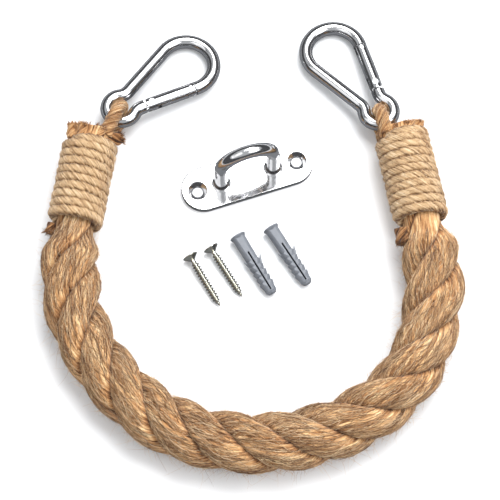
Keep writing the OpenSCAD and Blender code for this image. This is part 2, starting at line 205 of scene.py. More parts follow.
def plied_cord(name, path, radius, plies, lay, material, columns=27, fray=0.05, taper=0,
               bulge=0.416, groove_shade=0.5, tone=0.62, seam=None):
    """A laid cord along a path, its columns on its plies, with painted shade in the grooves between plies.
    Turns beside each other along seam press flat, and get painted shade where they touch.
    """
    rows = len(path)
    run = np.concatenate([[0], np.cumsum(np.linalg.norm(np.diff(path, axis=0), axis=1))])
    heading, side, other = frames_on(path)
    column = np.arange(columns) * TAU / columns
    turn = TAU * run / lay
    angle = column[None, :] + turn[:, None]
    size = lobed(column, radius, plies, bulge)[None, :] * (1 + wave_field(rows, columns, 5, fray))
    size = size * (1 + wave(rows, 14, 0.025)[:, None])
    if taper:
        ends = ease(np.minimum(run, run[-1] - run) / taper)
        size = size * (0.35 + 0.65 * ends[:, None])
    beside = 0 * angle
    if seam is not None:
        beside = np.abs(np.cos(angle) * np.sum(side * seam, axis=1)[:, None]
                        + np.sin(angle) * np.sum(other * seam, axis=1)[:, None])
        size = size * (1 + 0.22 * beside**2)
    rings = (path[:, None, :] + size[..., None] * (np.cos(angle)[..., None] * side[:, None, :]
             + np.sin(angle)[..., None] * other[:, None, :]))
    cord_grids[name] = rings
    sector = TAU / plies
    shaded_valley = np.abs((column + sector / 2) % sector - sector / 2) / (sector / 2)
    # Painted shade: the colour darkens in the grooves between the plies.
    tone = tone - groove_shade * ease((shaded_valley[None, :] - 0.6) / 0.4) + wave_field(rows, columns, 9, 0.13)
    # Painted shade: the colour darkens where turns lie against each other.
    tone = tone - 0.5 * ease((beside - 0.5) / 0.4)
    lie = np.stack([np.repeat(run[:, None], columns, 1), np.repeat(column[None, :] * radius, rows, 0),
                    np.zeros((rows, columns))], axis=-1)
    values = {"tone": np.append(tone.ravel(), [0.4, 0.4]),
              "lie": np.concatenate([lie.reshape(-1, 3), np.zeros((2, 3))])}
    return add_piece(name, tube_points(rings), tube_faces(rows, columns), material, values=values)


# ---- Materials ----
def new_material(name):
    material = bpy.data.materials.new(name)
    material.use_nodes = True
    tree = material.node_tree
    return material, tree.nodes, tree.links, tree.nodes["Principled BSDF"]


def ramp(nodes, stops):
    """A colour ramp from (place, colour) stops."""
    node = nodes.new("ShaderNodeValToRGB")
    while len(node.color_ramp.elements) < len(stops):
        node.color_ramp.elements.new(0.5)
    for element, (place, color) in zip(node.color_ramp.elements, stops):
        element.position = place
        element.color = (*color, 1)
    return node


def noise(nodes, links, vector, scale, detail=4.0, roughness=0.6):
    node = nodes.new("ShaderNodeTexNoise")
    node.inputs["Scale"].default_value = scale
    node.inputs["Detail"].default_value = detail
    node.inputs["Roughness"].default_value = roughness
    links.new(vector, node.inputs["Vector"])
    return node


def stretched(nodes, links, vector, scale):
    node = nodes.new("ShaderNodeMapping")
    node.inputs["Scale"].default_value = scale
    links.new(vector, node.inputs["Vector"])
    return node.outputs["Vector"]


def fibre_material(name, stops, fibre_scale=(170, 2400, 1000), contrast=1.7, bump=0.8):
    """Dry plant fibre: tone from the mesh, coarse and fine streaks along the yarns, patches and specks."""
    material, nodes, links, shader = new_material(name)
    tone = nodes.new("ShaderNodeAttribute")
    tone.attribute_name = "tone"
    lie = nodes.new("ShaderNodeAttribute")
    lie.attribute_name = "lie"
    place = nodes.new("ShaderNodeTexCoord")
    coarse_scale = (fibre_scale[0] * 0.6, fibre_scale[1] * 0.45, fibre_scale[2])
    fine = noise(nodes, links, stretched(nodes, links, lie.outputs["Vector"], fibre_scale), 1.0, 6)
    coarse = noise(nodes, links, stretched(nodes, links, lie.outputs["Vector"], coarse_scale), 1.0, 3)
    patch = noise(nodes, links, place.outputs["Object"], 110.0, 3)
    speck = noise(nodes, links, place.outputs["Object"], 1300.0, 3)

    def add_in(total, share, layer):
        node = nodes.new("ShaderNodeMath")
        node.operation = "MULTIPLY_ADD"
        links.new(layer, node.inputs[0])
        node.inputs[1].default_value = share
        links.new(total, node.inputs[2])
        return node.outputs[0]

    shares = [(contrast, fine), (0.6 * contrast, coarse), (0.40, patch), (0.35, speck)]
    mixed = tone.outputs["Fac"]
    for share, layer in shares:
        mixed = add_in(mixed, share, layer.outputs["Fac"])
    shift = nodes.new("ShaderNodeMath")
    shift.operation = "SUBTRACT"
    links.new(mixed, shift.inputs[0])
    shift.inputs[1].default_value = 0.5 * sum(share for share, _ in shares)
    colors = ramp(nodes, stops)
    links.new(shift.outputs[0], colors.inputs["Fac"])
    links.new(colors.outputs["Color"], shader.inputs["Base Color"])
    relief = nodes.new("ShaderNodeBump")
    relief.inputs["Strength"].default_value = bump
    relief.inputs["Distance"].default_value = 0.45 * MM
    links.new(fine.outputs["Fac"], relief.inputs["Height"])
    links.new(relief.outputs["Normal"], shader.inputs["Normal"])
    shader.inputs["Roughness"].default_value = 0.8
    shader.inputs["Specular IOR Level"].default_value = 0.22
    shader.inputs["Sheen Weight"].default_value = 0.2
    shader.inputs["Sheen Roughness"].default_value = 0.5
    return material


def rounded_edges(nodes, links, relief, radius):
    """Softens the look of sharp edges by a small radius."""
    edge = nodes.new("ShaderNodeBevel")
    edge.samples = 8
    edge.inputs["Radius"].default_value = radius
    links.new(edge.outputs["Normal"], relief.inputs["Normal"])
    return edge


def paint_edge_reflection(nodes, links, edge, colors, shader):
    """Painted reflection: a dark line multiplied into the base colour where the rounded normal leaves the
    true one, standing in for the dark surroundings that polished edges mirror.
    """
    true = nodes.new("ShaderNodeNewGeometry")
    agree = nodes.new("ShaderNodeVectorMath")
    agree.operation = "DOT_PRODUCT"
    links.new(edge.outputs["Normal"], agree.inputs[0])
    links.new(true.outputs["Normal"], agree.inputs[1])
    painted_edge_line = ramp(nodes, [(0.93, (0.012, 0.012, 0.014)), (0.985, (1.0, 1.0, 1.0))])
    links.new(agree.outputs["Value"], painted_edge_line.inputs["Fac"])
    mix = nodes.new("ShaderNodeMix")
    mix.data_type = "RGBA"
    mix.blend_type = "MULTIPLY"
    mix.inputs["Factor"].default_value = 1.0
    color_ins = [socket for socket in mix.inputs if socket.type == "RGBA"]
    color_out = next(socket for socket in mix.outputs if socket.type == "RGBA")
    links.new(colors.outputs["Color"], color_ins[0])
    links.new(painted_edge_line.outputs["Color"], color_ins[1])
    links.new(color_out, shader.inputs["Base Color"])


def steel_material(name, color, roughness, scratch=0.02, grain=900.0, edge=0.25 * MM):
    """Polished steel with faint handling marks in its gloss, and a painted dark edge reflection in its
    colour.
    """
    material, nodes, links, shader = new_material(name)
    place = nodes.new("ShaderNodeTexCoord")
    marks = noise(nodes, links, stretched(nodes, links, place.outputs["Object"], (1, 1, 6)), grain, 5)
    gloss = nodes.new("ShaderNodeMapRange")
    gloss.inputs["To Min"].default_value = roughness
    gloss.inputs["To Max"].default_value = roughness + 0.10
    links.new(marks.outputs["Fac"], gloss.inputs["Value"])
    links.new(gloss.outputs["Result"], shader.inputs["Roughness"])
    haze = noise(nodes, links, place.outputs["Object"], 120.0, 2)
    colors = ramp(nodes, [(0.35, [0.93 * c for c in color]), (0.65, color)])
    links.new(haze.outputs["Fac"], colors.inputs["Fac"])
    relief = nodes.new("ShaderNodeBump")
    relief.inputs["Strength"].default_value = scratch
    relief.inputs["Distance"].default_value = 0.05 * MM
    links.new(marks.outputs["Fac"], relief.inputs["Height"])
    rounded = rounded_edges(nodes, links, relief, edge)
    # Painted reflection: dark edge lines in the base colour.
    paint_edge_reflection(nodes, links, rounded, colors, shader)
    links.new(relief.outputs["Normal"], shader.inputs["Normal"])
    shader.inputs["Metallic"].default_value = 1.0
    return material


def nylon_material(name):
    """Moulded grey nylon, slightly uneven, with a soft gloss."""
    material, nodes, links, shader = new_material(name)
    place = nodes.new("ShaderNodeTexCoord")
    cloud = noise(nodes, links, place.outputs["Object"], 260.0, 3)
    fine = noise(nodes, links, place.outputs["Object"], 2600.0, 2)
    colors = ramp(nodes, [(0.3, (0.158, 0.171, 0.196)), (0.7, (0.20, 0.215, 0.243))])
    links.new(cloud.outputs["Fac"], colors.inputs["Fac"])
    links.new(colors.outputs["Color"], shader.inputs["Base Color"])
    gloss = nodes.new("ShaderNodeMapRange")
    gloss.inputs["To Min"].default_value = 0.36
    gloss.inputs["To Max"].default_value = 0.52
    links.new(cloud.outputs["Fac"], gloss.inputs["Value"])
    links.new(gloss.outputs["Result"], shader.inputs["Roughness"])
    relief = nodes.new("ShaderNodeBump")
    relief.inputs["Strength"].default_value = 0.15
    relief.inputs["Distance"].default_value = 0.1 * MM
    links.new(fine.outputs["Fac"], relief.inputs["Height"])
    rounded_edges(nodes, links, relief, 0.3 * MM)
    links.new(relief.outputs["Normal"], shader.inputs["Normal"])
    shader.inputs["Subsurface Weight"].default_value = 0.08
    shader.inputs["Subsurface Radius"].default_value = (0.002, 0.002, 0.002)
    return material


JUTE_STOPS = [(0.0, (0.055, 0.020, 0.006)), (0.2, (0.19, 0.08, 0.028)), (0.42, (0.42, 0.205, 0.082)),
              (0.62, (0.59, 0.325, 0.14)), (0.85, (0.80, 0.53, 0.27)), (1.0, (0.93, 0.71, 0.41))]
TWINE_STOPS = [(0.0, (0.10, 0.05, 0.02)), (0.22, (0.27, 0.155, 0.07)), (0.42, (0.45, 0.29, 0.15)),
               (0.62, (0.58, 0.40, 0.225)), (0.85, (0.71, 0.54, 0.345)), (1.0, (0.81, 0.67, 0.48))]
CORD_STOPS = [(place, tuple(0.82 * c for c in color)) for place, color in JUTE_STOPS]
HAIR_STOPS = [(0.0, (0.11, 0.045, 0.015)), (0.4, (0.47, 0.265, 0.12)), (1.0, (0.93, 0.72, 0.46))]
jute = fibre_material("jute_rope_fibre", JUTE_STOPS)
twine = fibre_material("jute_twine_fibre", TWINE_STOPS, (230, 2600, 1000), 1.3, 0.6)
cord_fibre = fibre_material("jute_cord_fibre", CORD_STOPS, (230, 2600, 1000), 1.4, 0.7)
hair = fibre_material("jute_hair", HAIR_STOPS, contrast=0.5, bump=0.0)
hook_steel = steel_material("polished_hook_steel", (0.66, 0.66, 0.67), 0.06, edge=0.4 * MM)
plate_steel = steel_material("polished_plate_steel", (0.72, 0.72, 0.73), 0.05, edge=0.8 * MM)
weld_steel = steel_material("polished_weld_steel", (0.62, 0.62, 0.63), 0.12, edge=0.02 * MM)
pin_steel = steel_material("satin_pin_steel", (0.40, 0.41, 0.43), 0.22, 0.06)
screw_steel = steel_material("nickel_screw_steel", (0.62, 0.615, 0.55), 0.10, 0.05, 1500.0, 0.35 * MM)
nylon = nylon_material("moulded_grey_nylon")


# ---- The three strands of the rope, as one mesh ----
YARNS = 30
PER_YARN = 6
ROW_STEP = 0.65 * MM
LOBE_OFFSET = 0.31 * ROPE_R
LOBE_R = ROPE_R - LOBE_OFFSET
YARN_LEAN = math.radians(12)
YARN_TWIST = (math.tan(YARN_LEAN) - TAU * ROPE_R / LAY) / LOBE_R
FLANK = math.radians(60)
YARN_RELIEF = 0.36 * MM
SKIN_ROUGHNESS = 0.07 * MM
STRAND_GAP = 0.10 * MM
CREASE_DEPTH = 0.9 * MM
CREASE_HALF = math.radians(7)
# Painted shade on the strands' flanks starts this far from a strand's middle and deepens over this angle.
SHADE_FROM = math.radians(40)
SHADE_OVER = math.radians(20)
FLOOR_CLEAR = 0.05 * MM


def hold(e, tuft, whip):
    """How tightly a whipping grips the strands at a distance e in from the rope's end."""
    ring_step = 3.1 * MM
    return np.where(e < tuft + whip / 2, ease((e + ring_step) / tuft),
                    1 - ease((e - tuft - whip - ring_step) / RELEASE))


def grip(s):
    """How tightly either whipping grips the strands at distances s along the rope."""
    return np.maximum(hold(s, TUFT["right"], WHIP_L["right"]),
                      hold(ROPE_L - s, TUFT["left"], WHIP_L["left"]))


def strand_rings(number):
    """Rings of points of one strand; its columns follow its yarns."""
    rows = int(ROPE_L / ROW_STEP) + 1
    columns = YARNS * PER_YARN
    s = np.linspace(0, ROPE_L, rows)
    middle, heading, across = along(s)
    turn = STRAND_PHASE + number * TAU / 3 + TAU * s / LAY
    yarn = np.arange(columns) // PER_YARN
    inside = (np.arange(columns) % PER_YARN) / PER_YARN
    ridge = np.sqrt(np.clip(1 - (2 * inside - 1) ** 2, 0, 1))
    proud = wave_field(rows, YARNS, 16, 0.17 * MM)[:, yarn]
    sway = wave_field(rows, YARNS, 22, 0.22)[:, yarn] * TAU / YARNS
    width = rng.uniform(0.8, 1.25, YARNS)
    edges = np.concatenate([[0], np.cumsum(width)]) * TAU / width.sum()
    column = edges[yarn] + (edges[yarn + 1] - edges[yarn]) * inside
    lump = wave(rows, 45, 0.22 * MM)[:, None]
    psi = column[None, :] + sway * ridge[None, :] + (YARN_TWIST * s)[:, None]
    relief = YARN_RELIEF * (ridge[None, :] - 1) + proud * ridge[None, :] + lump
    relief = relief + rng.normal(0, SKIN_ROUGHNESS, (rows, columns))
    x = LOBE_OFFSET + (LOBE_R + relief) * np.cos(psi)
    y = (LOBE_R + relief) * np.sin(psi)
    x = np.maximum(x, 0.5 * MM)
    reach = np.hypot(x, y)
    phi = np.arctan2(y, x)
    limit = FLANK - STRAND_GAP / np.maximum(reach, 1 * MM)
    phi_held = np.clip(phi, -limit, limit)
    reach = np.where(np.abs(phi) > limit, reach * np.cos(np.abs(phi) - limit), reach)
    crease = np.exp(-(((np.abs(phi_held) - FLANK) / CREASE_HALF) ** 2))
    reach = reach - CREASE_DEPTH * crease * (reach > 5 * MM)
    g = grip(s)[:, None]
    lobe = LOBE_OFFSET * np.cos(phi_held) + np.sqrt(LOBE_R**2 - (LOBE_OFFSET * np.sin(phi_held)) ** 2)
    reach = reach * ((1 - g) + g * GRIP_R / lobe)
    angle = turn[:, None] + phi_held
    rings = (middle[:, None, :] + reach[..., None] * (np.cos(angle)[..., None] * across[:, None, :]
             + np.sin(angle)[..., None] * UP))
    rings[..., 2] = np.maximum(rings[..., 2], FLOOR_CLEAR)
    # Painted shade: the colour darkens towards the strand's flanks, in the creases where strands meet, and in
    # the valleys between its yarns.
    flank_shade = ease((np.abs(phi_held) - SHADE_FROM) / SHADE_OVER)
    shaded_valley = 1 - ridge[None, :]
    tone = (0.60 - 0.34 * flank_shade**1.5 - 0.14 * shaded_valley + wave_field(rows, YARNS, 20, 0.13)[:, yarn]
            + rng.normal(0, 0.06, YARNS)[yarn][None, :] + wave_field(rows, columns, 12, 0.09))
    lie = np.stack([np.repeat(s[:, None], columns, 1), np.repeat(column[None, :] * LOBE_R, rows, 0),
                    np.full((rows, columns), number * 0.1)], axis=-1)
    outside = np.abs(phi) < limit
    return rings, tone, lie, outside


def build_rope():
    """The three strands as one mesh, and the strand, row and column of each point on its outside."""
    verts = []
    faces = []
    tones = []
    lies = []
    skin = []
    count = 0
    for number in range(3):
        rings, tone, lie, outside = strand_rings(number)
        rows, columns, _ = rings.shape
        points = tube_points(rings)
        verts.append(points)
        faces += tube_faces(rows, columns, count)
        count += len(points)
        tones.append(np.append(tone.ravel(), [0.3, 0.3]))
        lies.append(np.concatenate([lie.reshape(-1, 3), np.zeros((2, 3))]))
        row, col = np.nonzero(outside)
        skin.append(np.column_stack([np.full(len(row), number), row, col]))
        strand_grids.append(rings)
    rope = add_piece("jute_rope", np.concatenate(verts), faces, jute,
                     values={"tone": np.concatenate(tones), "lie": np.concatenate(lies)})
    return rope, np.concatenate(skin)


strand_grids = []
rope, rope_skin = build_rope()
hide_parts("strand_1", "strand_2", "strand_3")
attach(rope, "rope")
rope_path = along(np.linspace(0, ROPE_L, 260))[0]


# ---- Whippings: one length of laid twine wound round each end ----
def wind_whipping(side):
    """A helix of twine over the gripped strands, as wide as the CAD's rings."""
    turns, pitch = TURNS[side], PITCH[side]
    steps = turns * 110
    tau = np.linspace(-0.5, turns - 0.5, steps)
    x = TWINE_R + pitch * np.clip(tau, 0, turns - 1) + wave(steps, 60, 0.13 * MM)
    if side == "left":
        s = ROPE_L - TUFT[side] - x
        angle = TAU * tau + math.radians(200)
    else:
        s = TUFT[side] + x
        angle = -TAU * tau + math.radians(-20)
    middle, heading, across = along(s)
    radius = WHIP_R + wave(steps, 40, 0.10 * MM)
    tuck = ease(np.minimum(tau + 0.5, turns - 0.5 - tau) / 0.25)
    radius = radius - (1 - tuck) * 2.2 * MM
    path = middle + radius[:, None] * (np.cos(angle)[:, None] * across + np.sin(angle)[:, None] * UP)
    piece = plied_cord("whipping_twine_" + side, path, TWINE_R * 1.03, 3, 13 * MM, twine,
                       columns=30, fray=0.04, taper=4 * MM, bulge=0.2, groove_shade=0.16, seam=heading)
    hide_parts("whipping_" + side)
    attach(piece, "rope")
    return piece


whippings = {side: wind_whipping(side) for side in ("left", "right")}

# ---- Cord loops: an upright U round the small eye of each hook, with its legs in the rope's end ----
WIRE_R = 3 * MM
LOOP_R = 3 * MM
LOOP_BEND = WIRE_R + LOOP_R + 0.3 * MM
LOOP_Z = LOOP_BEND + LOOP_R + 0.1 * MM
LOOPS = {
    "left": {"at": (-0.0604, 0.053), "heading": math.radians(68), "leg": 10.5 * MM},
    "right": {"at": (0.0574, 0.0512), "heading": math.radians(102), "leg": 7 * MM},
}


def bend_loop(side):
    """The laid cord that leaves the rope's end, goes round the hook's small eye and comes back."""
    place = LOOPS[side]
    pivot = np.array([*place["at"], LOOP_Z])
    ahead = np.array([math.cos(place["heading"]), math.sin(place["heading"]), 0])
    leg = np.linspace(0, 1, 14)[:, None]
    arc = np.linspace(-math.pi / 2, math.pi / 2, 48)[1:-1, None]
    low = pivot - ahead * place["leg"] * (1 - leg) - UP * LOOP_BEND
    high = pivot - ahead * place["leg"] * leg + UP * LOOP_BEND
    turn = pivot + LOOP_BEND * (np.cos(arc) * ahead + np.sin(arc) * UP)
    path = np.concatenate([low, turn, high])
    run = np.concatenate([[0], np.cumsum(np.linalg.norm(np.diff(path, axis=0), axis=1))])
    fine = np.linspace(0, run[-1], 150)
    path = np.stack([np.interp(fine, run, path[:, i]) for i in range(3)], axis=-1)
    piece = plied_cord("loop_cord_" + side, path, LOOP_R, 3, 15 * MM, cord_fibre, columns=30, fray=0.05,
                       bulge=0.33, groove_shade=0.35, tone=0.56)
    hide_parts("loop_" + side)
    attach(piece, "rope")
    return piece


loops = {side: bend_loop(side) for side in LOOPS}


# ---- Bundles of short fibres: cut ends, tufts and stray hairs ----
def fibre_tubes(name, path, thickness, material, tone=(0.45, 0.15), slot="jute_rope", floor=0.12 * MM):
    """Many thin fibres as one mesh; each is a three-sided tube that narrows to its tip."""
    count, points, _ = path.shape
    path[..., 2] = np.maximum(path[..., 2], floor)
    t = np.linspace(0, 1, points)
    ways = path[:, -1] - path[:, 0]
    ways /= np.linalg.norm(ways, axis=1, keepdims=True) + 1e-9
    sideways = np.cross(ways, rng.normal(0, 1, (count, 3)))
    sideways /= np.linalg.norm(sideways, axis=1, keepdims=True) + 1e-9
    other = np.cross(ways, sideways)
    angle = np.arange(3) * TAU / 3
    ring = np.cos(angle)[:, None] * sideways[:, None, :] + np.sin(angle)[:, None] * other[:, None, :]
    size = (np.asarray(thickness) / 2 * np.ones(count))[:, None] * (1 - 0.6 * t[None, :])
    verts = path[:, :, None, :] + size[:, :, None, None] * ring[:, None, :, :]
    per = points * 3
    i = np.arange(points - 1)[:, None] * 3
    j = np.arange(3)[None, :]
    k = (j + 1) % 3
    quads = np.stack([i + j, i + k, i + 3 + k, i + 3 + j], axis=-1).reshape(-1, 4)
    base = (np.arange(count) * per)[:, None, None]
    faces = (quads[None] + base).reshape(-1, 4).tolist()
    near_cap = np.array([[2, 1, 0]])
    far_cap = np.array([[per - 3, per - 2, per - 1]])
    faces += (near_cap[None] + base).reshape(-1, 3).tolist()
    faces += (far_cap[None] + base).reshape(-1, 3).tolist()
    shade = np.repeat(np.clip(rng.normal(*tone, count), 0, 1), per)
    lie = np.column_stack([np.tile(np.repeat(t, 3), count) * 5 * MM, np.repeat(rng.uniform(0, 1, count), per),
                           np.zeros(count * per)])
    piece = add_piece(name, verts.reshape(-1, 3), faces, material, values={"tone": shade, "lie": lie})
    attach(piece, "rope")
    return piece


def fibre_bundle(name, starts, ways, lengths, thickness, material, curl=0.35, points=5, **look):
    """Fibres that leave their starts along their ways and bow to one side."""
    count = len(starts)
    t = np.linspace(0, 1, points)
    ways = ways / np.linalg.norm(ways, axis=1, keepdims=True)
    sideways = np.cross(ways, rng.normal(0, 1, (count, 3)))
    sideways /= np.linalg.norm(sideways, axis=1, keepdims=True) + 1e-9
    bow = rng.normal(0, curl, count)[:, None, None] * lengths[:, None, None] * (t**2)[None, :, None]
    path = starts[:, None, :] + ways[:, None, :] * (lengths[:, None] * t[None, :])[..., None]
    return fibre_tubes(name, path + bow * sideways[:, None, :], thickness, material, **look)


def lying_fibres(count):
    """Fibres that lie on the strands along their yarns, each a little lifted and astray."""
    points = 7
    stride = 3
    rows, columns, _ = strand_grids[0].shape
    inner = rope_skin[(rope_skin[:, 1] > 4) & (rope_skin[:, 1] < rows - points * stride - 4)]
    inner = inner[grip(inner[:, 1] / rows * ROPE_L) < 0.8]
    picks = inner[rng.integers(0, len(inner), count)]
    step = np.arange(points)[None, :]
    drift = rng.normal(0, 1.9, (count, 1)) * step + rng.normal(0, 0.5, (count, points))
    row = picks[:, 1:2] + stride * step
    column = np.rint(picks[:, 2:3] + drift).astype(int) % columns
    grids = np.stack(strand_grids)
    path = grids[picks[:, 0:1], row, column]
    middle = grids.mean(axis=(0, 2))[row]
    outward = path - middle
    outward /= np.linalg.norm(outward, axis=2, keepdims=True)
    lift = rng.gamma(2.0, 0.11 * MM, (count, 1)) * np.sin(math.pi * (step + 0.4) / points)
    return path + outward * lift[..., None]


def lying_on_cord(name, count):
    """Fibres that lie along a cord's surface, as paths."""
    points = 5
    stride = 3
    rings = cord_grids[name]
    rows, columns, _ = rings.shape
    first = rng.integers(2, rows - points * stride - 2, count)
    step = np.arange(points)[None, :]
    drift = rng.normal(0, 0.5, (count, 1)) * step + rng.integers(0, columns, (count, 1))
    row = first[:, None] + stride * step
    path = rings[row, np.rint(drift).astype(int) % columns]
    outward = path - rings.mean(axis=1)[row]
    outward /= np.linalg.norm(outward, axis=2, keepdims=True)
    lift = rng.gamma(2.0, 0.07 * MM, (count, 1)) * np.sin(math.pi * (step + 0.4) / points)
    return path + outward * lift[..., None]


def hairs_on_rope(count, scale, longest):
    """Hairs that stand off the strands, mostly along the yarns and a little outward."""
    visible = rope_skin[(rope_skin[:, 1] > 4) & (rope_skin[:, 1] < strand_grids[0].shape[0] - 5)]
    picks = visible[rng.integers(0, len(visible), count)]
    grids = np.stack(strand_grids)
    here = grids[picks[:, 0], picks[:, 1], picks[:, 2]]
    next_row = grids[picks[:, 0], picks[:, 1] + 3, picks[:, 2]]
    forward = next_row - here
    forward /= np.linalg.norm(forward, axis=1, keepdims=True)
    middle = grids[:, picks[:, 1]].mean(axis=(0, 2))
    outward = here - middle
    outward /= np.linalg.norm(outward, axis=1, keepdims=True)
    lean = rng.uniform(0.05, 1.3, count)[:, None] ** 1.3
    ways = forward * rng.choice([-1, 1], count)[:, None] + outward * lean + rng.normal(0, 0.3, (count, 3))
    lengths = np.minimum(rng.gamma(2.2, scale, count) + 0.6 * MM, longest)
    squeezed = grip(picks[:, 1] / strand_grids[0].shape[0] * ROPE_L) > 0.8
    keep = ~squeezed
    starts = here - outward * 0.15 * MM
    return starts[keep], ways[keep], lengths[keep]


SURFACE_FIBRES = 19000
lying = lying_fibres(SURFACE_FIBRES)
fibre_tubes("rope_surface_fibres", lying, rng.uniform(0.14, 0.30, len(lying)) * MM, hair, tone=(0.30, 0.36))
HAIR_SETS = [("rope_fuzz", 15000, 0.8 * MM, 4 * MM), ("rope_hairs", 3500, 2.2 * MM, 12 * MM)]
for name, count, scale, longest in HAIR_SETS:
    starts, ways, lengths = hairs_on_rope(count, scale, longest)
    fibre_bundle(name, starts, ways, lengths, rng.uniform(0.06, 0.12, len(starts)) * MM, hair,
                 points=4 if name == "rope_fuzz" else 6, tone=(0.5, 0.2))


def hairs_on(piece, name, count, length, slot):
    """Short hairs on a cord's mesh, from points taken at random."""
    mesh = piece.data
    points = np.empty(len(mesh.vertices) * 3)
    mesh.vertices.foreach_get("co", points)
    points = points.reshape(-1, 3)
    normals = np.empty(len(mesh.vertices) * 3)
    mesh.vertices.foreach_get("normal", normals)
    normals = normals.reshape(-1, 3)
    picks = rng.integers(0, len(points) - 2, count)
    ways = normals[picks] * rng.uniform(0.1, 1.0, count)[:, None] + rng.normal(0, 0.5, (count, 3))
    lengths = rng.gamma(2.0, length / 2, count) + 0.4 * MM
    return fibre_bundle(name, points[picks] - normals[picks] * 0.05 * MM, ways, np.minimum(lengths, 5 * MM),
                        rng.uniform(0.05, 0.10, count) * MM, hair, slot=slot)


for side in ("left", "right"):
    for cord, slot, count in (("whipping_twine_", "jute_twine", 4200), ("loop_cord_", "jute_cord", 500)):
        lying = lying_on_cord(cord + side, count)
        fibre_tubes(cord + "fibres_" + side, lying, rng.uniform(0.14, 0.28, count) * MM, hair,
                    tone=(0.50, 0.32), slot=slot)
    hairs_on(whippings[side], "whipping_hairs_" + side, 2600, 0.9 * MM, "jute_twine")
    hairs_on(loops[side], "loop_hairs_" + side, 420, 1.0 * MM, "jute_cord")


def cut_strand(name, start, way, length, radius, tone=0.5, slot="jute_rope", material=jute):
    """A short cut strand whose blunt end frays into fibres."""
    way = way / np.linalg.norm(way)
    run = np.linspace(0, 1, 18)[:, None]
    path = start + way * length * run + rng.normal(0, 0.06 * length, 3) * run**2
    piece = plied_cord(name, path, radius, 3, 16 * MM, material, columns=36, fray=0.10, bulge=0.3,
                       groove_shade=0.35, tone=tone)
    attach(piece, "rope")
    count = int(60 * radius / MM)
    side = np.cross(way, rng.normal(0, 1, (count, 3)))
    side /= np.linalg.norm(side, axis=1, keepdims=True)
    spread = np.sqrt(rng.uniform(0, 1, count))[:, None]
    starts = path[-1] - way * 1.2 * MM + side * spread * radius * 0.9
    ways = way + side * spread * 0.7 + rng.normal(0, 0.4, (count, 3))
    fibre_bundle(name + "_fray", starts, ways, rng.uniform(1.0, 2.4, count) * MM,
                 rng.uniform(0.18, 0.40, count) * MM, material, curl=0.5, points=4, floor=0.4 * MM,
                 tone=(tone - 0.08, 0.15), slot=slot)
    return piece


# Cut strands at each end: to the right, height, radius and length in mm, lean to the right, lean up, tone
CUT_STRANDS = {
    "left": [(-8.0, 14, 2.7, 6.5, -0.10, 0.1, 0.55), (-3.5, 18.5, 2.3, 5.5, 0.1, 0.2, 0.42),
             (0.5, 9, 3.0, 6.5, 0.0, 0.0, 0.35), (3.5, 17.5, 2.6, 5.0, 0.25, 0.1, 0.38),
             (-6.0, 7, 2.4, 5.5, -0.2, 0.0, 0.40), (5.5, 13, 2.9, 9.0, 1.6, 0.1, 0.22)],
    "right": [(-6.0, 14, 2.6, 5.0, -0.3, 0.1, 0.35), (-1.5, 17.5, 2.2, 3.4, -0.1, 0.0, 0.42),
              (3.5, 17.5, 2.5, 5.0, 0.1, 0.2, 0.48), (7.8, 13, 2.5, 5.6, 0.2, 0.1, 0.52),
              (1.0, 9, 3.0, 5.0, 0.0, 0.0, 0.34), (6.0, 6.5, 2.2, 4.6, 0.2, 0.0, 0.40)],
}
for side, strands in CUT_STRANDS.items():
    middle, heading, across = along(0.0 if side == "right" else ROPE_L)
    out, rightward = (-heading, across) if side == "right" else (heading, -across)
    for i, (right, height, radius, length, lean, rise, tone) in enumerate(strands):
        start = middle + rightward * right * MM - out * 4.5 * MM
        start[2] = height * MM
        cut_strand(f"cut_strand_{side}_{i + 1}", start, out + rightward * lean + UP * rise, length * MM,
                   radius * MM, tone)

# Cut cord ends below the whippings: distance past the whipping, side, radius, length
TAIL_OUT = 9.6 * MM
TAILS = {"left": (3 * MM, 1, 2.0 * MM, 5.0 * MM), "right": (6 * MM, -1, 3.2 * MM, 7.5 * MM)}
for side, (below, hand, radius, length) in TAILS.items():
    s = TUFT[side] + WHIP_L[side] + below
    middle, heading, across = along(s if side == "right" else ROPE_L - s)
    away = heading if side == "right" else -heading
    start = middle + across * hand * TAIL_OUT - away * length / 2 + UP * 1.5 * MM
    tail = cut_strand("cord_stub_" + side, start, away + across * hand * 0.15, length, radius,
                      0.30, "jute_cord", cord_fibre)
    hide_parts("cord_tail_" + side)


# ---- Screws: countersunk, with a cross recess and a true helical thread ----
SCREW_L = 26 * MM
SCREW_R = 1.75 * MM
SCREW_HEAD_R = 3.5 * MM
SCREW_RIM = 0.35 * MM
SCREW_HEAD_H = 2.4 * MM
SCREW_ROOT_R = 0.95 * MM
THREAD_PITCH = 1.4 * MM
THREAD_FROM = 4 * MM
SCREW_POINT = 4 * MM
RECESS_HALF = 0.5 * MM
RECESS_REACH = 2.0 * MM
RECESS_DEPTH = 1.4 * MM
THREAD_CREST = 0.12
THREAD_FLANK = 0.75
SCREW_PLACES = {"screw_1": (-27.2 * MM, -8.2 * MM, -59), "screw_2": (-18.2 * MM, -4.4 * MM, -57.5)}


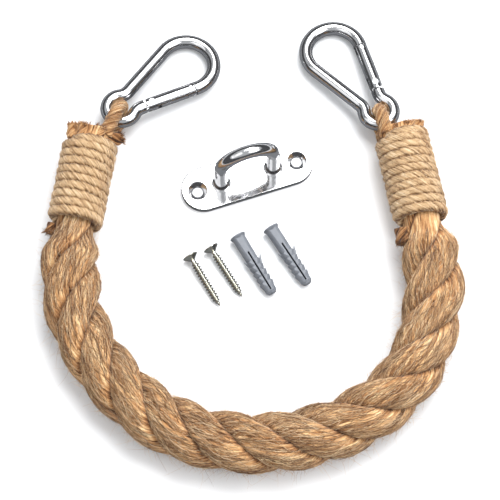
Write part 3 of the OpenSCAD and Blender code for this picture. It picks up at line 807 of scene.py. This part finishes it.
def cut_screw(name):
    """A screw along +X from its head's face to its point, turned and laid in its place."""
    columns = 48
    angle = np.arange(columns) * TAU / columns
    face_r = np.linspace(0.12 * MM, SCREW_HEAD_R - 0.1 * MM, 26)
    y, z = face_r[:, None] * np.cos(angle), face_r[:, None] * np.sin(angle)
    arm = np.minimum(np.abs(y), np.abs(z))
    reach = np.maximum(np.abs(y), np.abs(z))
    sunk = (RECESS_DEPTH * ease((RECESS_HALF + 0.1 * MM - arm) / (0.2 * MM))
            * ease((RECESS_REACH - reach) / (0.3 * MM)))
    face = np.stack([sunk, y, z], axis=-1)
    shank_x = np.arange(SCREW_RIM + 0.05 * MM, SCREW_L - 0.02 * MM, 0.09 * MM)
    x = np.concatenate([[0.1 * MM, SCREW_RIM], shank_x])
    core = np.interp(x, [0, SCREW_RIM, SCREW_HEAD_H, SCREW_L - SCREW_POINT, SCREW_L],
                     [SCREW_HEAD_R, SCREW_HEAD_R, SCREW_ROOT_R, SCREW_ROOT_R, 0.06 * MM])
    phase = (x[:, None] / THREAD_PITCH - angle[None, :] / TAU) % 1
    flank = np.abs(phase - 0.5) * 2
    height = (SCREW_R - SCREW_ROOT_R) * (1 - np.clip((flank - THREAD_CREST) / THREAD_FLANK, 0, 1))
    fade = ease((x - THREAD_FROM + 0.7 * MM) / (1.4 * MM)) * ease((SCREW_L - x) / SCREW_POINT + 0.15)
    radius = core[:, None] + height * fade[:, None]
    shank = np.stack([np.repeat(x[:, None], columns, 1), radius * np.cos(angle), radius * np.sin(angle)],
                     axis=-1)
    points = tube_points(np.concatenate([face, shank]))
    across, up, turn = SCREW_PLACES[name]
    droop = math.asin((SCREW_HEAD_R - SCREW_R) / (SCREW_L - SCREW_POINT - SCREW_RIM))
    pose = (Matrix.Translation((across, up, SCREW_HEAD_R)) @ Matrix.Rotation(math.radians(turn), 4, "Z")
            @ Matrix.Rotation(droop, 4, "Y"))
    pose = np.array(pose)
    points = points @ pose[:3, :3].T + pose[:3, 3]
    piece = add_piece(name + "_cut", points, tube_faces(len(face) + len(shank), columns), screw_steel)
    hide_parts(name)
    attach(piece, name)
    return piece


for name in SCREW_PLACES:
    cut_screw(name)


# ---- Steel, nylon and the rest of the frame ----
def finish_nodes(material, *names):
    """Gives CAD nodes their material."""
    for name in names:
        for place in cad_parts[name].material_slots:
            place.material = material


for side in ("left", "right"):
    finish_nodes(hook_steel, "hook_body_" + side, "gate_" + side)
    finish_nodes(pin_steel, "hinge_rivet_" + side, "latch_pin_" + side, "gate_spring_" + side,
                 "spring_plunger_" + side)
finish_nodes(plate_steel, "eye_plate", "eye_ring")
finish_nodes(weld_steel, "ring_welds")
finish_nodes(nylon, "plug_1", "plug_2")


# ---- Floor, lights, and the dark cards that only polished steel mirrors ----
def stage_mesh(name, verts, faces, material):
    """A piece of the stage, which isn't part of the object."""
    mesh = bpy.data.meshes.new(name)
    mesh.from_pydata(verts, [], faces)
    mesh.materials.append(material)
    obj = bpy.data.objects.new(name, mesh)
    bpy.context.collection.objects.link(obj)
    return obj


floor_material, _, _, floor_shader = new_material("pale_floor")
floor_shader.inputs["Base Color"].default_value = (0.93, 0.94, 0.955, 1)
floor_shader.inputs["Roughness"].default_value = 0.6
floor_shader.inputs["Specular IOR Level"].default_value = 0.2
FLOOR = 3.0
stage_mesh("floor", [(-FLOOR, -FLOOR, 0), (FLOOR, -FLOOR, 0), (FLOOR, FLOOR, 0), (-FLOOR, FLOOR, 0)],
           [(0, 1, 2, 3)], floor_material)

dark_material, _, _, dark_shader = new_material("dark_card")
dark_shader.inputs["Base Color"].default_value = (0.07, 0.07, 0.073, 1)
dark_shader.inputs["Roughness"].default_value = 1.0
dark_shader.inputs["Specular IOR Level"].default_value = 0.0


def gloss_only(obj):
    """Leaves an object to be seen only in polished surfaces."""
    obj.visible_camera = False
    obj.visible_diffuse = False
    obj.visible_shadow = False
    obj.visible_transmission = False


def dark_band(name, from_azimuth, to_azimuth, low, high, radius=1.3):
    """Part of a dark wall round the object that only polished steel mirrors."""
    steps = 24
    verts = []
    for i in range(steps + 1):
        azimuth = math.radians(from_azimuth + (to_azimuth - from_azimuth) * i / steps)
        for height in (low, high):
            tilt = math.radians(height)
            verts.append((radius * math.cos(tilt) * math.cos(azimuth),
                          radius * math.cos(tilt) * math.sin(azimuth), radius * math.sin(tilt)))
    faces = [(2 * i, 2 * i + 2, 2 * i + 3, 2 * i + 1) for i in range(steps)]
    gloss_only(stage_mesh(name, verts, faces, dark_material))


dark_band("dark_wall", 0, 360, 3, 36)
shade_material, _, _, shade_shader = new_material("shaded_floor_card")
shade_shader.inputs["Base Color"].default_value = (0.16, 0.165, 0.175, 1)
shade_shader.inputs["Roughness"].default_value = 1.0
shade_shader.inputs["Specular IOR Level"].default_value = 0.0
CARD = 0.3
CARD_Z = 0.03 * MM
card = stage_mesh("shaded_floor_card", [(-CARD, -CARD, CARD_Z), (CARD, -CARD, CARD_Z), (CARD, CARD, CARD_Z),
                                        (-CARD, CARD, CARD_Z)], [(0, 1, 2, 3)], shade_material)
gloss_only(card)
dark_band("dark_slot_left", 150, 215, 48, 56)
dark_band("dark_slot_right", -30, 30, 50, 58)


def soft_light(name, azimuth, height, size, energy, reach=1.2):
    """A soft square light that faces the middle of the floor."""
    data = bpy.data.lights.new(name, "AREA")
    data.shape = "RECTANGLE"
    data.size, data.size_y = size
    data.energy = energy
    light = bpy.data.objects.new(name, data)
    turn, tilt = math.radians(azimuth), math.radians(height)
    way = Vector((math.cos(tilt) * math.cos(turn), math.cos(tilt) * math.sin(turn), math.sin(tilt)))
    light.location = way * reach
    light.rotation_euler = way.to_track_quat("Z", "Y").to_euler()
    bpy.context.collection.objects.link(light)


soft_light("key", 60, 62, (0.9, 0.7), 17)
soft_light("side", -20, 55, (0.6, 0.6), 4)
soft_light("fill", 200, 60, (0.8, 0.8), 2)
world = bpy.data.worlds.new("studio")
world.use_nodes = True
studio = world.node_tree.nodes["Background"]
studio.inputs["Color"].default_value = (0.96, 0.98, 1.0, 1)
studio.inputs["Strength"].default_value = 0.62
bpy.context.scene.world = world
bpy.context.scene.view_settings.view_transform = "Standard"
